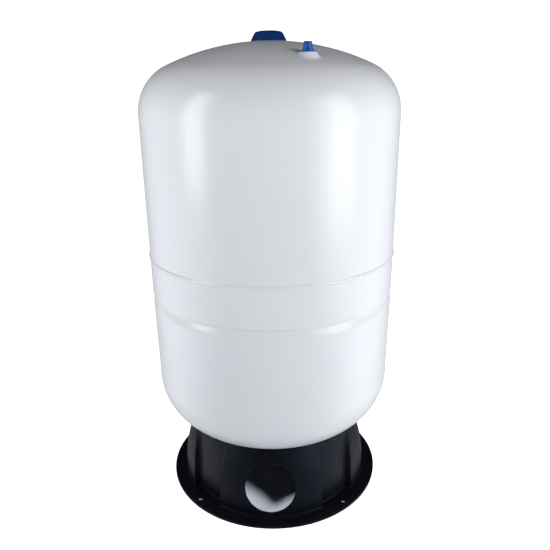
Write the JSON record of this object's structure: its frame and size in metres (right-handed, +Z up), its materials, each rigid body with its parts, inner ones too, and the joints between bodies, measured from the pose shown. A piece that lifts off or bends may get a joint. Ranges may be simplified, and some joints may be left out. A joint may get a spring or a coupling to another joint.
{
  "type": "expansion vessel",
  "caption": "Upright diaphragm expansion vessel on a moulded stand, with two capped gas valves on its dome and a threaded water connection below.",
  "frame": {"origin": "on the vessel's axis, on the floor that the stand's flange rests on", "axes": "+Z up along the vessel's axis; -Y faces out through the stand's round pipe hole; +X is to its right"},
  "size_m": [0.4336, 0.4336, 0.8136],
  "materials": {
    "white_enamel": "smooth satin-gloss powder coat",
    "black_moulded_plastic": "injection moulded, satin",
    "navy_cap_plastic": "injection moulded, soft gloss",
    "blue_cap_plastic": "soft translucent moulding",
    "valve_brass": "turned",
    "seal_rubber": "moulded",
    "diaphragm_rubber": "moulded, matt",
    "liner_plastic": "moulded",
    "stainless_steel": "turned",
    "zinc_plated_steel": "bright zinc plated"
  },
  "bodies": {
    "vessel": {"upper_shell": "white_enamel", "lower_shell": "white_enamel", "girth_weld": "white_enamel", "cap_collar": "white_enamel", "stand_hoop": "white_enamel", "stand": "black_moulded_plastic", "charging_valve_body": "valve_brass", "charging_core_body": "valve_brass", "gauge_valve_body": "valve_brass", "gauge_core_body": "valve_brass", "gauge_valve_ring_nut": "valve_brass", "charging_valve_nut": "valve_brass", "charging_valve_o_ring": "seal_rubber", "gauge_valve_o_ring": "seal_rubber", "connection_o_ring": "seal_rubber", "diaphragm": "diaphragm_rubber", "liner": "liner_plastic", "water_connection": "stainless_steel", "charging_core_spring": "stainless_steel", "gauge_core_spring": "stainless_steel", "clench_ring": "zinc_plated_steel", "connection_washer": "zinc_plated_steel", "connection_nut": "zinc_plated_steel", "charging_valve_washer": "zinc_plated_steel", "stand_screws": "zinc_plated_steel"},
    "charging_cap": {"charging_valve_cap": "navy_cap_plastic"},
    "gauge_cap": {"gauge_valve_cap": "blue_cap_plastic"},
    "charging_pin": {"charging_core_pin": "valve_brass", "charging_core_seal": "seal_rubber"},
    "gauge_pin": {"gauge_core_pin": "valve_brass", "gauge_core_seal": "seal_rubber"},
    "diaphragm_centre": {"diaphragm_pad": "liner_plastic"}
  },
  "joints": [
    {"name": "charging_cap_lift", "type": "slide", "parent": "vessel", "child": "charging_cap", "axis": [0, 0, 1], "range_m": [0, 0.06]},
    {"name": "gauge_cap_lift", "type": "slide", "parent": "vessel", "child": "gauge_cap", "axis": [0, 0, 1], "range_m": [0, 0.045]},
    {"name": "charging_pin_press", "type": "slide", "parent": "vessel", "child": "charging_pin", "axis": [0, 0, -1], "range_m": [0, 0.0012], "stiffness_N_per_m": 500, "springref_m": -0.002, "deforming": ["charging_core_spring"]},
    {"name": "gauge_pin_press", "type": "slide", "parent": "vessel", "child": "gauge_pin", "axis": [0, 0, -1], "range_m": [0, 0.0012], "stiffness_N_per_m": 500, "springref_m": -0.002, "deforming": ["gauge_core_spring"]},
    {"name": "diaphragm_rise", "type": "slide", "parent": "vessel", "child": "diaphragm_centre", "axis": [0, 0, 1], "range_m": [0, 0.2], "deforming": ["diaphragm"]}
  ]
}
